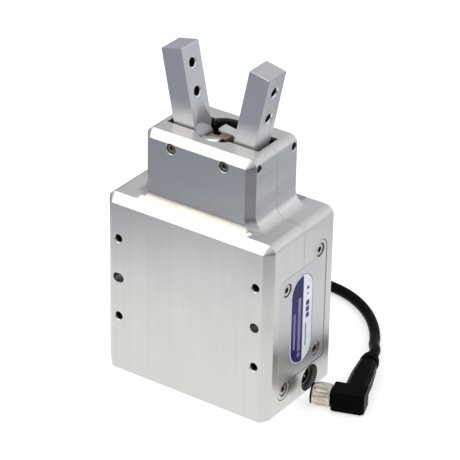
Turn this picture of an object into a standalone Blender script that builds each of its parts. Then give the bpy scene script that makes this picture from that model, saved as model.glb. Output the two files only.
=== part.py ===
# Two-finger angular gripper: split aluminium housing, screw-driven crosshead,
# side connector port and a short captive lead with a right-angle plug.
# Units are metres, +Z is up, the fingers open along X, the housing parts at Y = 0.
# Every object is built at its rest place: fingers open, crosshead up.
import bpy
import bmesh
from math import pi, sin, cos, tan, radians, hypot, acos
from mathutils import Vector, Matrix

for ob in list(bpy.data.objects):
    bpy.data.objects.remove(ob, do_unlink=True)

MM = 0.001

# ---------------------------------------------------------------- dimensions
BODY_W = 80.0          # housing width, X
BODY_D = 48.0          # housing depth, Y
BODY_H = 80.0          # height of the shoulder
BODY_CHAMFER = 3.4     # 45 degree break around the front and rear faces
BODY_TOP_R = 3.7       # profile corner radius at the shoulder
BODY_FOOT_R = 2.5      # profile corner radius at the base
HEAD_HALF_W = 26.0
HEAD_HALF_D = 17.15
HEAD_TOP = 110.0
HEAD_CHAMFER = 3.15
HEAD_TOP_R = 3.45
HEAD_FILLET = 6.0      # hollow fillet between the head sides and the shoulder
LEDGE_FILLET = 2.2     # hollow fillet between the head faces and the ledge
SEAM = 0.15            # half of the gap between the two housing halves

MOUNT_X = 33.2         # mounting hole pattern of the front and rear faces
MOUNT_Z = (25.0, 43.0, 61.0)
MOUNT_TAP_R = 1.75
MOUNT_DOWEL_R = 2.1
MOUNT_DEPTH = 9.0

SLOT_HALF_X = 21.8     # finger slot in the head
SLOT_HALF_Y = 6.8
SLOT_FLOOR = 97.5
BORE_R = 10.6          # round well in the middle of the slot
CHANNEL_HALF_X = 7.7
CHANNEL_HALF_Y = 6.75
CHANNEL_FLOOR = 82.5

PIVOT_X = 12.5
PIVOT_Z = 104.8
PIVOT_PIN_R = 2.0
PIVOT_PIN_HALF = 13.2
FINGER_HALF_Y = 5.77
FINGER_OUT = -5.53     # outer face from the pivot, across the finger
FINGER_IN = 4.17       # inner face from the pivot, across the finger
FINGER_LEN = 37.75     # finger tip above the pivot
FINGER_FOOT = 5.2
OPEN_TILT = radians(11.63)    # lean of each finger when open
FINGER_HOLES = (18.2, 30.2)
FINGER_HOLE_R = 2.45
LEVER_REST = radians(9.0)     # lever above the level when open
LEVER_HALF = 2.9
LEVER_OUT_R = 9.7
LEVER_CHAMFER = 1.0
SCOOP_R = 7.0          # hollow at the root of the left finger
SCOOP_LEAN = radians(7.9)

DRIVE_PIN_R = 1.5
DRIVE_Z = PIVOT_Z + PIVOT_X * tan(LEVER_REST)
NUT_HALF_X = 7.0
NUT_HALF_Y = 6.3
NUT_LOW = 88.0
NUT_TOP = 101.9
NECK_TOP = 108.6
PAD_TOP = 109.75       # raised end of the neck

SCREW_R = 2.95
SCREW_TOP = 96.5
SCREW_LOW = 52.0
BEARING_OUT_R = 8.1
BEARING_IN_R = 3.3
COUPLING_R = 7.5
MOTOR_HALF = 14.0
MOTOR_TOP = 35.6

COVER_HALF_Y = 16.6
COVER_MID_Z = 37.5
COVER_FLANK = 24.3     # long edges from the middle
COVER_EAR_R = 4.45
COVER_EAR_Y = 12.15
COVER_EAR_Z = 26.8
COVER_RECESS = 36.8    # floor of the recess
COVER_OUT = 39.9
COVER_SCREWS = ((-11.1, 56.2), (11.8, 64.2), (11.1, 18.8), (-11.8, 10.8))
LABEL_HALF_W = 7.6
LABEL_HALF_L = 20.0
LABEL_MID = (-0.5, 38.2)

PORT_Y = 6.8
PORT_Z = 7.1
PORT_R = 5.85

JOINT_SCREWS = ((-34.0, 72.0), (34.0, 72.0), (-34.0, 8.0), (21.0, 7.0))
DOWELS = ((-35.0, 62.0), (35.0, 66.0))

CABLE_R = 2.35
GLAND_X = -28.0
GLAND_Z = 12.0
GLAND_END = 38.0
PLUG_X = 61.3
PLUG_Y = 6.2
PLUG_Z = 5.0
PLUG_TURN = radians(199.0)
PLUG_TIP = 33.5
COIL_MID = (-5.0, 25.0)    # centre of the lead's long floor curve
COIL_R = 55.2


# ---------------------------------------------------------------- materials
def material(name, colour, rough, metal):
    m = bpy.data.materials.get(name)
    if m is None:
        m = bpy.data.materials.new(name)
        m.use_nodes = True
        b = m.node_tree.nodes['Principled BSDF']
        b.inputs['Base Color'].default_value = (colour[0], colour[1], colour[2], 1.0)
        b.inputs['Roughness'].default_value = rough
        b.inputs['Metallic'].default_value = metal
        m.diffuse_color = (colour[0], colour[1], colour[2], 1.0)
    return m


ALU = dict(colour=(0.80, 0.80, 0.79), rough=0.34, metal=1.0)
STEEL = dict(colour=(0.56, 0.56, 0.57), rough=0.28, metal=1.0)
NICKEL = dict(colour=(0.72, 0.68, 0.60), rough=0.25, metal=1.0)
BLACK_STEEL = dict(colour=(0.05, 0.05, 0.055), rough=0.45, metal=1.0)
BRONZE = dict(colour=(0.45, 0.27, 0.13), rough=0.42, metal=1.0)
BLACK = dict(colour=(0.02, 0.02, 0.02), rough=0.5, metal=0.0)
BOARD = dict(colour=(0.03, 0.20, 0.07), rough=0.45, metal=0.0)
BLUE = dict(colour=(0.05, 0.05, 0.30), rough=0.35, metal=0.0)


def paint(ob, kind):
    ob.data.materials.clear()
    ob.data.materials.append(material(ob.name + '_finish', kind['colour'], kind['rough'], kind['metal']))


# ---------------------------------------------------------------- mesh helpers
def new_object(name, bm, at=(0, 0, 0), turn=0.0):
    bmesh.ops.recalc_face_normals(bm, faces=bm.faces)
    me = bpy.data.meshes.new(name)
    bm.to_mesh(me)
    bm.free()
    ob = bpy.data.objects.new(name, me)
    bpy.context.scene.collection.objects.link(ob)
    ob.location = [c * MM for c in at]
    ob.rotation_euler = (0.0, 0.0, turn)
    return ob


def loft(rings, cap=True):
    """Closed solid through rings of equal point count, millimetres in, metres out."""
    bm = bmesh.new()
    rows = [[bm.verts.new([c * MM for c in p]) for p in ring] for ring in rings]
    n = len(rows[0])
    for a, b in zip(rows, rows[1:]):
        for i in range(n):
            j = (i + 1) % n
            bm.faces.new((a[i], a[j], b[j], b[i]))
    if cap:
        bm.faces.new(list(reversed(rows[0])))
        bm.faces.new(rows[-1])
    return bm


def prism(points, axis, low, high):
    """Extrude a polygon along an axis; points are given in the other two axes, in order."""
    def put(p, t):
        if axis == 'X':
            return (t, p[0], p[1])
        if axis == 'Y':
            return (p[0], t, p[1])
        return (p[0], p[1], t)
    return loft([[put(p, low) for p in points], [put(p, high) for p in points]])


def rect(x0, x1, y0, y1):
    return [(x0, y0), (x1, y0), (x1, y1), (x0, y1)]


def block(x0, x1, y0, y1, z0, z1):
    return prism(rect(x0, x1, y0, y1), 'Z', z0, z1)


def circle(cx, cy, r, n=24, phase=0.5):
    return [(cx + r * cos(2 * pi * (i + phase) / n), cy + r * sin(2 * pi * (i + phase) / n)) for i in range(n)]


def arc(cx, cy, r, a0, a1, n):
    return [(cx + r * cos(radians(a0 + (a1 - a0) * i / n)), cy + r * sin(radians(a0 + (a1 - a0) * i / n)))
            for i in range(n + 1)]


def turned(profile, axis, centre, n=24):
    """Solid of revolution. profile: (distance along the axis, radius), closed or ending on the axis."""
    bm = bmesh.new()

    def put(t, r, k):
        a = 2 * pi * (k + 0.5) / n
        u, v = r * cos(a), r * sin(a)
        if axis == 'X':
            p = (t, centre[0] + u, centre[1] + v)
        elif axis == 'Y':
            p = (centre[0] + u, t, centre[1] + v)
        else:
            p = (centre[0] + u, centre[1] + v, t)
        return bm.verts.new([c * MM for c in p])
    rows = []
    for t, r in profile:
        rows.append([put(t, 0.0, 0)] if r == 0.0 else [put(t, r, k) for k in range(n)])
    closed = profile[0][1] != 0.0
    pairs = list(zip(rows, rows[1:]))
    if closed:
        pairs.append((rows[-1], rows[0]))
    for a, b in pairs:
        for i in range(n):
            j = (i + 1) % n
            if len(a) == 1:
                bm.faces.new((a[0], b[j], b[i]))
            elif len(b) == 1:
                bm.faces.new((a[i], a[j], b[0]))
            else:
                bm.faces.new((a[i], a[j], b[j], b[i]))
    return bm


def helper(name, bm, at=(0, 0, 0), turn=0.0):
    """A tool body: it cuts or joins and is never part of the product."""
    ob = new_object(name, bm, at, turn)
    ob.display_type = 'WIRE'
    ob.hide_render = True
    return ob


def combine(ob, others, operation, tag):
    group = bpy.data.collections.new(ob.name + '_' + tag)
    bpy.context.scene.collection.children.link(group)
    for o in others:
        for c in list(o.users_collection):
            c.objects.unlink(o)
        group.objects.link(o)
    m = ob.modifiers.new(tag, 'BOOLEAN')
    m.operation = operation
    m.operand_type = 'COLLECTION'
    m.collection = group
    m.solver = 'EXACT'


def smooth(ob, angle=35.0):
    bpy.context.view_layer.objects.active = ob
    ob.data.shade_smooth()
    ob.data.set_sharp_from_angle(angle=radians(angle))


def fastener(name, axis, centre, out, length, r, head_r, head_h, socket_r, socket_d, sign, kind, n=12):
    """Hex-socket screw. out: outer end along the axis, sign: the way the outer end faces."""
    def hexed(rad, i):
        a = (2 * pi * (i + 0.5) / n) % (pi / 3)
        return rad * cos(pi / 6) / cos(a - pi / 6)
    bm = bmesh.new()

    def put(t, u, v):
        if axis == 'X':
            p = (t, centre[0] + u, centre[1] + v)
        else:
            p = (centre[0] + u, t, centre[1] + v)
        return bm.verts.new([c * MM for c in p])

    def ring(t, rad, hexagon=False):
        out_ring = []
        for i in range(n):
            a = 2 * pi * (i + 0.5) / n
            q = hexed(rad, i) if hexagon else rad
            out_ring.append(put(t, q * cos(a), q * sin(a)))
        return out_ring
    rows = [[put(out - sign * socket_d, 0, 0)], ring(out - sign * socket_d, socket_r, True), ring(out, socket_r, True)]
    big = head_r if head_h else r
    rows.append(ring(out, big - 0.25))
    rows.append(ring(out - sign * 0.25, big))
    if head_h:
        rows.append(ring(out - sign * head_h, head_r))
        rows.append(ring(out - sign * head_h, r))
    rows.append(ring(out - sign * (length - 0.4), r))
    rows.append(ring(out - sign * length, r - 0.4))
    rows.append([put(out - sign * length, 0, 0)])
    for a, b in zip(rows, rows[1:]):
        for i in range(n):
            j = (i + 1) % n
            if len(a) == 1:
                bm.faces.new((a[0], b[i], b[j]))
            elif len(b) == 1:
                bm.faces.new((a[i], a[j], b[0]))
            else:
                bm.faces.new((a[i], a[j], b[j], b[i]))
    ob = new_object(name, bm)
    paint(ob, kind)
    return ob


# ---------------------------------------------------------------- outlines
def body_outline(inset):
    """Front view of the housing body, anticlockwise; the base is never set in."""
    top_r = BODY_TOP_R - inset
    cx, cz = BODY_W / 2 - BODY_TOP_R, BODY_H - BODY_TOP_R
    foot = BODY_FOOT_R if inset == 0 else 0.3
    fx = BODY_W / 2 - inset - foot
    pts = arc(fx, foot, foot, -90, 0, 4)
    pts += arc(cx, cz, top_r, 0, 90, 6)
    pts += [(-x, z) for x, z in reversed(arc(cx, cz, top_r, 0, 90, 6))]
    pts += [(-x, z) for x, z in reversed(arc(fx, foot, foot, -90, 0, 4))]
    return pts


def head_outline(inset):
    r = HEAD_TOP_R - inset
    cx, cz = HEAD_HALF_W - HEAD_TOP_R, HEAD_TOP - HEAD_TOP_R
    fr = HEAD_FILLET + inset
    fcx, fcz = HEAD_HALF_W + HEAD_FILLET, BODY_H + HEAD_FILLET - 0.02
    end = 270.0 if inset == 0 else 180.0 + (180.0 / pi) * acos((fcx - 25.1) / fr) if fr > 6.95 else 270.0
    right = [(fcx - fr * cos(radians(end - 180.0)), BODY_H - 8.0)]
    right += list(reversed(arc(fcx, fcz, fr, 180, end, 7)))
    right += arc(cx, cz, r, 0, 90, 6)
    left = [(-x, z) for x, z in reversed(right)]
    return right + left


def cover_outline(offset):
    """S-shaped side cover in the Y-Z plane, grown by offset."""
    e = offset
    corner = 1.5
    ear = COVER_EAR_R + e
    half = []
    # upper right ear, then down the right edge, lower right corner, along the lower edge
    ex, ez = COVER_EAR_Y, COVER_EAR_Z
    neck = 1.2 - e
    left_of_ear = ex - ear
    top = COVER_FLANK + e
    half += [(left_of_ear - neck, top), (left_of_ear - neck * 0.3, top + neck * 0.3), (left_of_ear, top + neck)]
    half += list(reversed(arc(ex, ez, ear, 0, 180, 10)))
    side = COVER_HALF_Y + e
    half += list(reversed(arc(side - corner, -(COVER_FLANK + e) + corner, corner, -90, 0, 4)))
    full = half + [(-y, -z) for y, z in half]
    return [(y, z + COVER_MID_Z) for y, z in reversed(full)]


def stadium(cy, cz, half_w, half_l, n=12):
    pts = arc(cy, cz + half_l - half_w, half_w, 0, 180, n)
    pts += arc(cy, cz - half_l + half_w, half_w, 180, 360, n)
    return pts


# ---------------------------------------------------------------- housing halves
def housing(name, side):
    """side -1 is the front half, +1 the rear half."""
    f = side * BODY_D / 2
    over = -side * 1.0
    full, small = body_outline(0.0), body_outline(BODY_CHAMFER)

    def at(points, y):
        return [(x, y, z) for x, z in points]
    ob = new_object(name, loft([at(small, f), at(full, f - side * BODY_CHAMFER), at(full, over)]))
    hf = side * HEAD_HALF_D
    head = helper(name + '_head', loft([at(head_outline(HEAD_CHAMFER), hf), at(head_outline(0.0), hf - side * HEAD_CHAMFER),
                                        at(head_outline(0.0), over)]))
    # fillet strip between the head face and the ledge, its ends following the head chamfer
    r = LEDGE_FILLET
    section = [(HEAD_HALF_D - 0.6, BODY_H - 0.8), (HEAD_HALF_D + r, BODY_H - 0.8)]
    section += [(HEAD_HALF_D + r - r * sin(radians(a)), BODY_H + 0.01 + r - r * cos(radians(a))) for a in (0, 18, 36, 54, 72, 90)]
    section += [(HEAD_HALF_D - 0.6, BODY_H + r)]

    def reach(z):
        big = HEAD_FILLET + HEAD_CHAMFER
        return HEAD_HALF_W + HEAD_FILLET - (big * big - (BODY_H + HEAD_FILLET - z) ** 2) ** 0.5 - 0.25
    strip = helper(name + '_strip', loft([[(-reach(z), side * y, z) for y, z in section],
                                          [(reach(z), side * y, z) for y, z in section]]))
    combine(ob, [head], 'UNION', 'join_head')
    combine(ob, [strip], 'UNION', 'join_strip')
    cuts = []

    def cut(tag, bm):
        cuts.append(helper(name + '_' + tag, bm))
    cut('split', block(-50, 50, *sorted((-side * 5.0, side * SEAM)), -5, 120))
    cut('slot', block(-SLOT_HALF_X, SLOT_HALF_X, -SLOT_HALF_Y, SLOT_HALF_Y, SLOT_FLOOR, 115))
    cut('well', prism(circle(0, 0, BORE_R, 40), 'Z', SLOT_FLOOR - 0.3, 116))
    cut('channel', block(-CHANNEL_HALF_X, CHANNEL_HALF_X, -CHANNEL_HALF_Y, CHANNEL_HALF_Y, CHANNEL_FLOOR, 99))
    cut('screw_way', prism(circle(0, 0, 5.0, 24), 'Z', 78, 84))
    cut('bearing_seat', prism(circle(0, 0, BEARING_OUT_R + 0.3, 32), 'Z', 66, 79.5))
    cut('coupling_way', prism(circle(0, 0, 10.0, 32), 'Z', 35, 67))
    cut('motor_bay', block(-14.5, 14.5, -14.5, 14.5, 4.3, 36.3))
    cut('board_bay', block(18, 32, -16, 16, 14, 62))
    cut('wire_way', block(13.5, 19, -4, 4, 28, 34))
    cut('window', block(31, 38, -9, 9, 23, 52))
    cut('cover_recess', prism(cover_outline(0.0), 'X', COVER_RECESS, 42))
    for i, (y, z) in enumerate(COVER_SCREWS):
        if y * side > 0:
            cut('cover_tap_%d' % i, prism(circle(y, z, 1.65, 16), 'X', 31.5, 37.5))
    # mounting pattern
    for x in (-MOUNT_X, MOUNT_X):
        for k, z in enumerate(MOUNT_Z):
            y0, y1 = sorted((f + side * 1.0, f - side * MOUNT_DEPTH))
            if k == 1:
                if x < 0:
                    pts = arc(x + 0.5, z, MOUNT_DOWEL_R, -90, 90, 10) + arc(x - 0.5, z, MOUNT_DOWEL_R, 90, 270, 10)
                else:
                    pts = circle(x, z, MOUNT_DOWEL_R, 20)
                cut('mount_%d_%d' % (k, x > 0), prism(pts, 'Y', y0, y1))
            else:
                a, b, c = f + side * 1.0, f - side * 0.35, f - side * MOUNT_DEPTH
                cut('mount_%d_%d' % (k, x > 0), turned([(a, 0.0), (a, MOUNT_TAP_R + 1.35), (b, MOUNT_TAP_R),
                                                          (c, MOUNT_TAP_R), (c, 0.0)], 'Y', (x, z), 20))
    # pivot pin holes and their locking screws
    for sx in (-1, 1):
        x = sx * PIVOT_X
        a, b, c = hf + side * 1.0, hf - side * 0.3, side * 6.0
        cut('pivot_%d' % (sx > 0), turned([(a, 0.0), (a, PIVOT_PIN_R + 1.5), (b, PIVOT_PIN_R + 0.2),
                                            (c, PIVOT_PIN_R + 0.2), (c, 0.0)], 'Y', (x, PIVOT_Z), 20))
        a, b, c = sx * 27.0, sx * (HEAD_HALF_W - 0.25), sx * 13.6
        cut('lock_%d' % (sx > 0), turned([(a, 0.0), (a, 2.85), (b, 1.6), (c, 1.6), (c, 0.0)], 'X',
                                          (side * 12.0, PIVOT_Z + 1.1), 16))
    for i, (x, z) in enumerate(JOINT_SCREWS):
        if side > 0:
            cut('joint_%d' % i, turned([(25.0, 0.0), (25.0, 3.3), (20.2, 3.3), (20.2, 1.7), (-2.0, 1.7), (-2.0, 0.0)],
                                       'Y', (x, z), 16))
        else:
            cut('joint_%d' % i, prism(circle(x, z, 1.7, 16), 'Y', -15.0, 2.0))
    for i, (x, z) in enumerate(DOWELS):
        cut('dowel_%d' % i, prism(circle(x, z, 1.8, 16), 'Y', *sorted((-side * 2.0, side * 6.4))))
    if side > 0:
        cut('port', prism(circle(PORT_Y, PORT_Z, PORT_R, 32), 'X', 27, 42))
        cut('port_wires', block(20.5, 29, 4, 9.5, 4.5, 15))
        cut('gland_hole', prism(circle(GLAND_X, GLAND_Z, 4.0, 24), 'Y', 15, 26))
        cut('gland_bay', block(-33, -13.5, 8, 18, 7, 17))
    combine(ob, cuts, 'DIFFERENCE', 'cut')
    paint(ob, ALU)
    return ob


front = housing('front_housing', -1)
rear = housing('rear_housing', 1)

# ---------------------------------------------------------------- side cover
cover = new_object('side_cover', prism(cover_outline(-0.25), 'X', COVER_RECESS + 0.25, COVER_OUT))
cover_cuts = [helper('cover_label_bed', prism(stadium(LABEL_MID[0], LABEL_MID[1], LABEL_HALF_W + 0.3, LABEL_HALF_L + 0.3),
                                              'X', COVER_OUT - 0.6, 41))]
for i, (y, z) in enumerate(COVER_SCREWS):
    cover_cuts.append(helper('cover_hole_%d' % i, turned([(41.0, 0.0), (41.0, 3.0), (37.85, 3.0), (37.85, 1.65),
                                                          (36.0, 1.65), (36.0, 0.0)], 'X', (y, z), 20)))
combine(cover, cover_cuts, 'DIFFERENCE', 'cut')
paint(cover, ALU)
for i, (y, z) in enumerate(COVER_SCREWS):
    fastener('cover_screw_%d' % (i + 1), 'X', (y, z), 39.55, 6.3, 1.35, 2.6, 1.45, 1.3, 0.95, 1, NICKEL)
label = new_object('label_plate', prism(stadium(LABEL_MID[0], LABEL_MID[1], LABEL_HALF_W, LABEL_HALF_L), 'X', 39.6, 39.92))
paint(label, BLUE)


# ---------------------------------------------------------------- fingers
def finger(name, side):
    """side -1 is the left finger, +1 the right. The object's origin is on its pivot axis."""
    s = -side

    def place(v, u):
        # across the finger (v towards the middle) and along it (u), lean included
        return (s * (v * cos(OPEN_TILT) - u * sin(OPEN_TILT)), v * sin(OPEN_TILT) + u * cos(OPEN_TILT))
    outline = [(FINGER_OUT, -2.7), (-3.0, -FINGER_FOOT), (1.7, -FINGER_FOOT), (FINGER_IN, -2.7),
               (FINGER_IN, FINGER_LEN - 0.3), (FINGER_IN - 0.3, FINGER_LEN), (FINGER_OUT + 0.3, FINGER_LEN),
               (FINGER_OUT, FINGER_LEN - 0.3)]
    ob = new_object(name, prism([place(v, u) for v, u in outline], 'Y', -FINGER_HALF_Y, FINGER_HALF_Y),
                    (side * PIVOT_X, 0.0, PIVOT_Z))

    def lever_z(x, off):
        # x from the pivot towards the middle
        return x * tan(LEVER_REST) + off / cos(LEVER_REST)
    if side < 0:
        # ring-shaped lever around the front of the well
        cx, cy, rr = PIVOT_X - 2.4, 0.5, 7.0

        def ring_plan(outer):
            pts = [(PIVOT_X + outer * cos(radians(a)), outer * sin(radians(a)))
                   for a in [214.5 + (294.0 - 214.5) * i / 13 for i in range(14)]]
            pts += [(PIVOT_X + 4.2, -6.3), (PIVOT_X + 2.5, -6.3)]
            pts += [(cx + rr * cos(radians(a)), cy + rr * sin(radians(a))) for a in [284, 272, 260, 248, 236, 224, 212, 202]]
            return pts + [(1.5, -2.1), (1.5, -5.5)]
        plan = ring_plan(LEVER_OUT_R)
        top_plan = ring_plan(LEVER_OUT_R - LEVER_CHAMFER)
        slot = (PIVOT_X - 2.6, PIVOT_X + 6.0, -11.0, -5.0)
    else:
        plan = rect(1.5, PIVOT_X + 2.0, 0.1, 5.2)
        top_plan = plan
        slot = (PIVOT_X - 2.6, PIVOT_X + 6.0, -1.0, 6.0)
    low = [(s * x, y, lever_z(x, -LEVER_HALF)) for x, y in plan]
    middle = [(s * x, y, lever_z(x, LEVER_HALF - LEVER_CHAMFER)) for x, y in plan]
    high = [(s * x, y, lever_z(x, LEVER_HALF)) for x, y in top_plan]
    pivot = (side * PIVOT_X, 0.0, PIVOT_Z)
    lever = helper(name + '_lever', loft([low, middle, high]), pivot)
    combine(ob, [lever], 'UNION', 'join')
    cuts = [helper(name + '_pivot_bore', prism(circle(0, 0, PIVOT_PIN_R + 0.3, 24), 'Y', -8, 8), pivot)]
    x0, x1, y0, y1 = slot
    gap = DRIVE_PIN_R + 0.25
    cuts.append(helper(name + '_fork', prism([(s * x0, lever_z(x0, -gap)), (s * x1, lever_z(x1, -gap)),
                                              (s * x1, lever_z(x1, gap)), (s * x0, lever_z(x0, gap))], 'Y', y0, y1), pivot))
    for k, u in enumerate(FINGER_HOLES):
        # through hole across the finger
        ring0, ring1 = [], []
        for i in range(24):
            a = 2 * pi * (i + 0.5) / 24
            du, dy = FINGER_HOLE_R * cos(a), FINGER_HOLE_R * sin(a)
            for ring, v in ((ring0, -9.0), (ring1, 8.0)):
                x, z = place(v, u + du)
                ring.append((x, dy, z))
        cuts.append(helper(name + '_hole_%d' % k, loft([ring0, ring1]), pivot))
    if side < 0:
        # hollow down the root of the inner face
        rings = []
        for level in (None, 12.0):
            t = -2.0 if level is None else level
            cx = 7.84 + t * tan(SCOOP_LEAN)
            ring = []
            for i in range(40):
                x = cx + SCOOP_R * cos(2 * pi * i / 40)
                # its floor falls away at 45 degrees, clear of the pivot bore
                z = 4.67 - x if level is None else HEAD_TOP - PIVOT_Z + t
                ring.append((x, 0.5 + SCOOP_R * sin(2 * pi * i / 40), z))
            rings.append(ring)
        scoop = helper(name + '_scoop', loft(rings), pivot)
        cuts.append(scoop)
    combine(ob, cuts, 'DIFFERENCE', 'cut')
    paint(ob, ALU)
    return ob


left_finger = finger('left_finger', -1)
right_finger = finger('right_finger', 1)

for tag, sx in (('left', -1), ('right', 1)):
    pin = new_object('pivot_pin_' + tag, turned([(-PIVOT_PIN_HALF, 0.0), (-PIVOT_PIN_HALF, PIVOT_PIN_R - 0.3),
                                                 (-PIVOT_PIN_HALF + 0.3, PIVOT_PIN_R), (PIVOT_PIN_HALF - 0.3, PIVOT_PIN_R),
                                                 (PIVOT_PIN_HALF, PIVOT_PIN_R - 0.3), (PIVOT_PIN_HALF, 0.0)],
                                                'Y', (sx * PIVOT_X, PIVOT_Z), 20))
    paint(pin, STEEL)
    smooth(pin)
    for end, sy in (('front', -1), ('rear', 1)):
        fastener('pivot_plug_%s_%s' % (end, tag), 'Y', (sx * PIVOT_X, PIVOT_Z), sy * 16.6, 3.0, 1.95, 0, 0, 1.1, 1.4, sy,
                 BLACK_STEEL)
        fastener('pin_lock_%s_%s' % (end, tag), 'X', (sy * 12.0, PIVOT_Z + 1.1), sx * 19.2, 4.5, 1.35, 0, 0, 0.75, 1.2, sx,
                 BLACK_STEEL)

# ---------------------------------------------------------------- crosshead and screw drive
crosshead = new_object('crosshead', block(-NUT_HALF_X, NUT_HALF_X, -NUT_HALF_Y, NUT_HALF_Y, NUT_LOW, NUT_TOP))
combine(crosshead, [helper('crosshead_neck', block(-3.5, 5.5, -5.8, -2.5, NUT_TOP - 2.0, NECK_TOP))], 'UNION', 'join')
combine(crosshead, [helper('crosshead_pad', block(1.5, 5.5, -5.8, -0.7, NUT_TOP - 2.0, PAD_TOP))], 'UNION', 'join_pad')
combine(crosshead, [helper('crosshead_thread', prism(circle(0, 0, SCREW_R + 0.3, 24), 'Z', NUT_LOW - 2, 100.9)),
                    helper('crosshead_pin_hole', prism(circle(0, DRIVE_Z, DRIVE_PIN_R + 0.25, 20), 'Y', -8, 2))],
        'DIFFERENCE', 'cut')
paint(crosshead, BRONZE)
drive_pin = new_object('drive_pin', turned([(-9.3, 0.0), (-9.3, DRIVE_PIN_R), (5.1, DRIVE_PIN_R), (5.1, 0.0)], 'Y',
                                           (0, DRIVE_Z), 16))
paint(drive_pin, STEEL)
smooth(drive_pin)

lead_screw = new_object('lead_screw', turned([(SCREW_LOW, 0.0), (SCREW_LOW, SCREW_R - 0.4), (SCREW_LOW + 0.4, SCREW_R),
                                              (79.0, SCREW_R), (79.0, 4.3), (80.2, 4.3), (80.2, SCREW_R),
                                              (SCREW_TOP - 0.6, SCREW_R), (SCREW_TOP, SCREW_R - 0.6), (SCREW_TOP, 0.0)],
                                             'Z', (0, 0), 24))
paint(lead_screw, STEEL)
smooth(lead_screw)
for tag, z0 in (('lower', 67.2), ('upper', 73.2)):
    b = new_object('screw_bearing_' + tag, turned([(z0, BEARING_IN_R), (z0 + 5.0, BEARING_IN_R), (z0 + 5.0, BEARING_OUT_R - 0.3),
                                                   (z0 + 4.7, BEARING_OUT_R), (z0 + 0.3, BEARING_OUT_R),
                                                   (z0, BEARING_OUT_R - 0.3)], 'Z', (0, 0), 28))
    paint(b, STEEL)
    smooth(b)
ring = new_object('bearing_retainer', turned([(63.9, 7.0), (66.8, 7.0), (66.8, 9.7), (63.9, 9.7)], 'Z', (0, 0), 28))
paint(ring, STEEL)
smooth(ring)
coupling = new_object('shaft_coupling', turned([(50.4, 0.0), (50.4, 2.8), (42.0, 2.8), (42.0, COUPLING_R - 0.4),
                                                (42.4, COUPLING_R), (60.0, COUPLING_R), (60.4, COUPLING_R - 0.4),
                                                (60.4, 3.3), (51.5, 3.3), (51.5, 0.0)], 'Z', (0, 0), 24))
paint(coupling, ALU)
smooth(coupling)


def chamfered_square(h, c):
    return [(h, -h + c), (h, h - c), (h - c, h), (-h + c, h), (-h, h - c), (-h, -h + c), (-h + c, -h), (h - c, -h)]


motor = new_object('motor_body', prism(chamfered_square(MOTOR_HALF, 2.4), 'Z', 10.1, MOTOR_TOP))
combine(motor, [helper('motor_pilot', prism(circle(0, 0, 9.4, 28), 'Z', 30, 37.6))], 'UNION', 'join')
combine(motor, [helper('motor_shaft_way', prism(circle(0, 0, 2.8, 20), 'Z', 28, 40))], 'DIFFERENCE', 'cut')
paint(motor, BLACK_STEEL)
end_cap = new_object('motor_end_cap', prism(chamfered_square(MOTOR_HALF, 2.4), 'Z', 4.8, 9.8))
paint(end_cap, ALU)
shaft = new_object('motor_shaft', turned([(29.0, 0.0), (29.0, 2.5), (49.7, 2.5), (50.1, 2.1), (50.1, 0.0)], 'Z', (0, 0), 20))
paint(shaft, STEEL)
smooth(shaft)

# ---------------------------------------------------------------- electronics
board = new_object('control_board', block(24.0, 25.6, -14.5, 14.5, 16.0, 60.0))
paint(board, BOARD)
chip = new_object('board_processor', block(25.9, 27.3, -5.0, 5.0, 38.0, 48.0))
paint(chip, BLACK)
driver = new_object('board_driver', block(25.9, 28.2, -11.0, -3.0, 22.0, 32.0))
paint(driver, BLACK)
header = new_object('board_header', block(25.9, 30.6, 1.5, 11.0, 21.0, 27.0))
paint(header, BLACK)
for i, (y, z) in enumerate(((-11.5, 19.5), (11.5, 56.5))):
    post = new_object('board_standoff_%d' % (i + 1), turned([(18.3, 0.0), (18.3, 2.2), (23.7, 2.2), (23.7, 0.0)], 'X', (y, z), 12))
    paint(post, NICKEL)

# ---------------------------------------------------------------- connector port
port = (PORT_Y, PORT_Z)
shell = new_object('port_shell', turned([(27.4, 0.0), (27.4, 5.5), (33.0, 5.5), (33.0, 4.0), (37.3, 4.0), (37.6, 3.75),
                                         (37.6, 3.35), (30.0, 3.35), (30.0, 0.0)], 'X', port, 28))
paint(shell, NICKEL)
smooth(shell)
insert = new_object('port_insert', turned([(30.3, 0.0), (30.3, 3.05), (35.2, 3.05), (35.2, 0.0)], 'X', port, 24))
pins = []
for i in range(4):
    a = pi / 4 + i * pi / 2
    pins.append(helper('port_pin_%d' % i, turned([(34.0, 0.0), (34.0, 0.5), (36.8, 0.5), (37.1, 0.25), (37.1, 0.0)], 'X',
                                                 (PORT_Y + 1.5 * cos(a), PORT_Z + 1.5 * sin(a)), 10)))
combine(insert, pins, 'UNION', 'join')
paint(insert, BLACK)
ring_nut = new_object('port_ring_nut', turned([(33.3, 4.3), (35.0, 4.3), (35.0, 5.4), (33.3, 5.4)], 'X', port, 24))
paint(ring_nut, NICKEL)
smooth(ring_nut)

# ---------------------------------------------------------------- joint screws and dowels
for i, (x, z) in enumerate(JOINT_SCREWS):
    fastener('joint_screw_%d' % (i + 1), 'Y', (x, z), 23.4, 34.0, 1.4, 2.85, 3.0, 1.35, 1.5, 1, STEEL)
for i, (x, z) in enumerate(DOWELS):
    d = new_object('dowel_pin_%d' % (i + 1), turned([(-6.0, 0.0), (-6.0, 1.2), (-5.7, 1.5), (5.7, 1.5), (6.0, 1.2), (6.0, 0.0)],
                                                    'Y', (x, z), 14))
    paint(d, STEEL)

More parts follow.
